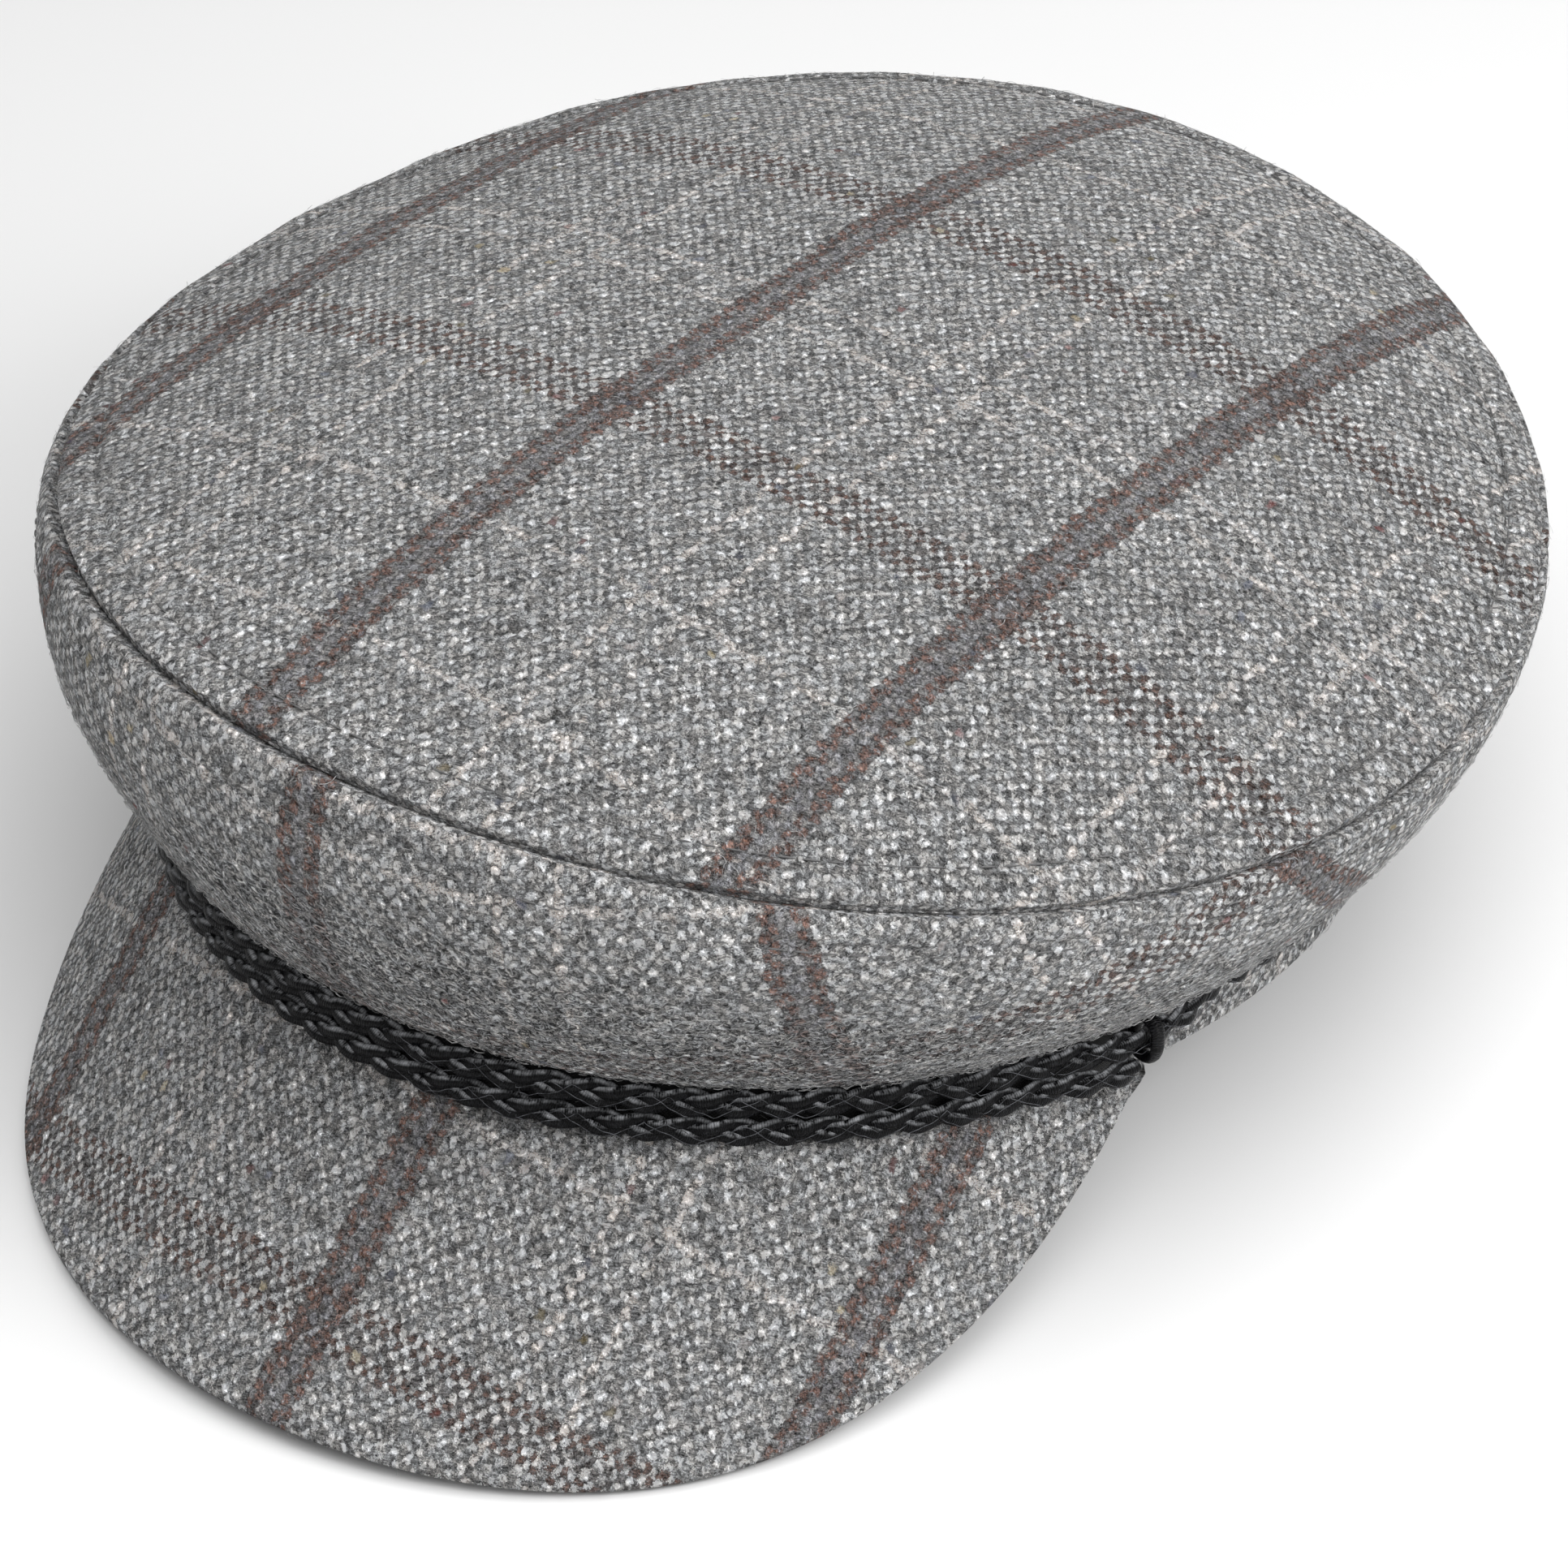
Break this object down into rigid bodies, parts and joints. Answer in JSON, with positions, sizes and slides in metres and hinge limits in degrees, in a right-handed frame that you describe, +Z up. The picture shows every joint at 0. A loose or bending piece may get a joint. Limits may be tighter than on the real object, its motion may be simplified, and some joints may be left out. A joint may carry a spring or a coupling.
{
  "type": "skipper cap",
  "caption": "Soft wool tweed skipper cap with a wide domed crown, a stiff curved peak and a plaited black cord above the peak.",
  "frame": {"origin": "centre of the bounding box's bottom face, on the surface that the cap rests on", "axes": "+Z up, the peak points to -Y, +X is the wearer's left"},
  "size_m": [0.216, 0.2644, 0.0947],
  "materials": {
    "tweed": "grey wool twill with a dark brown windowpane check and pale slubs",
    "cord": "black plaited cord with a soft sheen",
    "button": "black covered button"
  },
  "bodies": {
    "root": {"crown_tip": "tweed", "crown_side_front": "tweed", "crown_side_back": "tweed", "head_band": "tweed", "peak": "tweed", "braid_upper": "cord", "braid_lower": "cord", "braid_loop_left": "cord", "braid_loop_right": "cord", "button_left": "button", "button_right": "button"}
  },
  "joints": []
}
